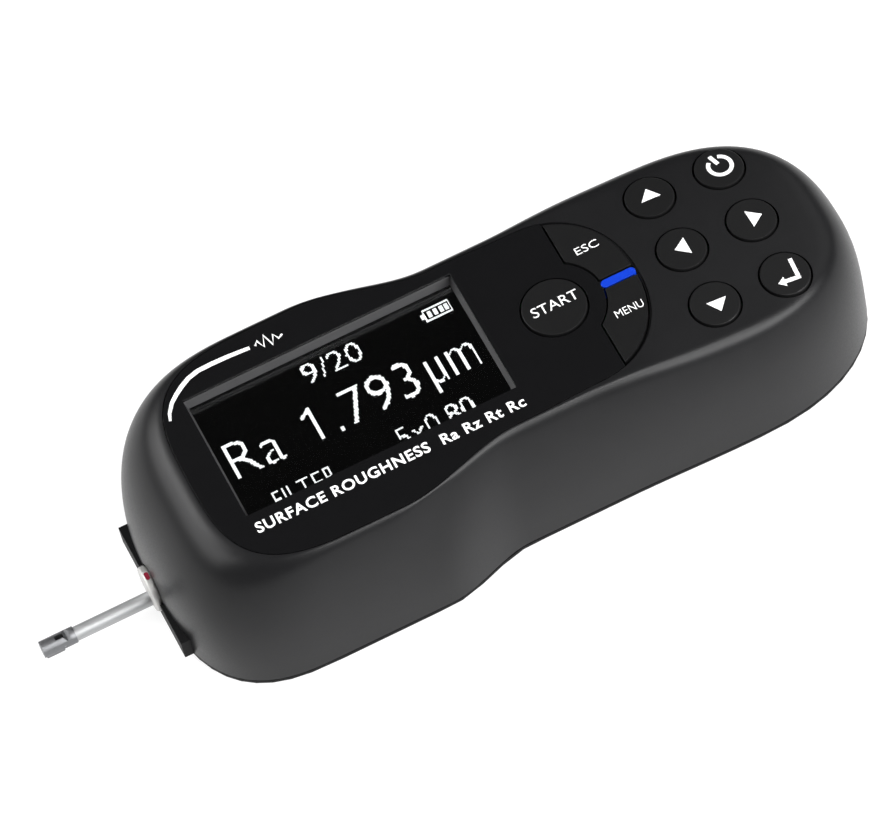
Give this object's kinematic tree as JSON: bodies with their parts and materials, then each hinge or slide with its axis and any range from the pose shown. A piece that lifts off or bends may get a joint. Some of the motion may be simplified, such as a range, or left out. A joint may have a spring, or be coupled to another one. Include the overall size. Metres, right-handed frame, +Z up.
{
  "type": "surface roughness tester",
  "caption": "Hand-held surface roughness tester: dark moulded housing with a screen and keys on top and a motor-driven stylus pick-up at the front.",
  "frame": {"origin": "centre of the base underside below the middle of the housing's length", "axes": "+Z up, -X towards the pick-up, +Y to the far side"},
  "size_m": [0.1835, 0.0628, 0.0363],
  "materials": {
    "housing": "satin",
    "cover": "matte",
    "face": "satin",
    "bezel": "satin",
    "window": "clear gloss",
    "screen": "dark display",
    "key": "satin",
    "light": "translucent blue",
    "board": "solder mask",
    "switch": "matte",
    "battery": "shrink sleeve",
    "frame": "machined",
    "steel": "ground",
    "dark_steel": "ground",
    "brass": "turned",
    "dot": "paint",
    "socket": "moulded"
  },
  "bodies": {
    "tester": {"upper_housing": "housing", "lower_cover": "cover", "nose_plate": "cover", "face_plate": "face", "display_bezel": "bezel", "display_window": "window", "display_panel": "screen", "display_board": "board", "status_light": "light", "keypad_board": "board", "key_switches": "switch", "main_board": "board", "charge_socket": "steel", "battery_pack": "battery", "drive_frame": "frame", "guide_rods": "steel", "gear_motor": "steel", "end_sensors": "cover", "board_screws": "steel", "housing_screws": "steel"},
    "start_key_body": {"start_key": "key"},
    "esc_key_body": {"esc_key": "key"},
    "menu_key_body": {"menu_key": "key"},
    "right_key_body": {"right_key": "key"},
    "power_key_body": {"power_key": "key"},
    "up_key_body": {"up_key": "key"},
    "down_key_body": {"down_key": "key"},
    "left_key_body": {"left_key": "key"},
    "enter_key_body": {"enter_key": "key"},
    "screw_line": {"lead_screw": "steel", "shaft_coupling": "brass", "motor_shaft": "steel"},
    "pickup_carriage": {"carriage": "cover", "drive_nut": "brass", "pickup_socket": "socket", "pickup_barrel": "steel", "alignment_dot": "dot", "pickup_tube": "steel", "skid_head": "dark_steel", "stylus_pin": "steel"},
    "stylus": {"stylus_arm": "dark_steel", "stylus_tip": "dark_steel"}
  },
  "joints": [
    {"name": "start_press", "type": "slide", "parent": "tester", "child": "start_key_body", "axis": [0, 0, -1], "range_m": [0, 0.0006], "stiffness_N_per_m": 300},
    {"name": "esc_press", "type": "slide", "parent": "tester", "child": "esc_key_body", "axis": [0, 0, -1], "range_m": [0, 0.0006], "stiffness_N_per_m": 300},
    {"name": "menu_press", "type": "slide", "parent": "tester", "child": "menu_key_body", "axis": [0, 0, -1], "range_m": [0, 0.0006], "stiffness_N_per_m": 300},
    {"name": "right_press", "type": "slide", "parent": "tester", "child": "right_key_body", "axis": [0, 0, -1], "range_m": [0, 0.0006], "stiffness_N_per_m": 300},
    {"name": "power_press", "type": "slide", "parent": "tester", "child": "power_key_body", "axis": [0, 0, -1], "range_m": [0, 0.0006], "stiffness_N_per_m": 300},
    {"name": "up_press", "type": "slide", "parent": "tester", "child": "up_key_body", "axis": [0, 0, -1], "range_m": [0, 0.0006], "stiffness_N_per_m": 300},
    {"name": "down_press", "type": "slide", "parent": "tester", "child": "down_key_body", "axis": [0, 0, -1], "range_m": [0, 0.0006], "stiffness_N_per_m": 300},
    {"name": "left_press", "type": "slide", "parent": "tester", "child": "left_key_body", "axis": [0, 0, -1], "range_m": [0, 0.0006], "stiffness_N_per_m": 300},
    {"name": "enter_press", "type": "slide", "parent": "tester", "child": "enter_key_body", "axis": [0, 0, -1], "range_m": [0, 0.0006], "stiffness_N_per_m": 300},
    {"name": "screw_turn", "type": "hinge", "parent": "tester", "child": "screw_line", "pos_m": [-0.03, 0, 0.0155], "axis": [1, 0, 0], "range_deg": [0, 3150]},
    {"name": "pickup_traverse", "type": "slide", "parent": "tester", "child": "pickup_carriage", "axis": [1, 0, 0], "range_m": [0, 0.0175]},
    {"name": "stylus_tilt", "type": "hinge", "parent": "pickup_carriage", "child": "stylus", "pos_m": [-0.0999, 0, 0.003], "axis": [0, 1, 0], "range_deg": [-1, 1], "stiffness_Nm_per_rad": 0.0001}
  ],
  "couplings": [
    {"joint": "screw_turn", "follows": "pickup_traverse", "rad_per_m": 3141.6}
  ]
}
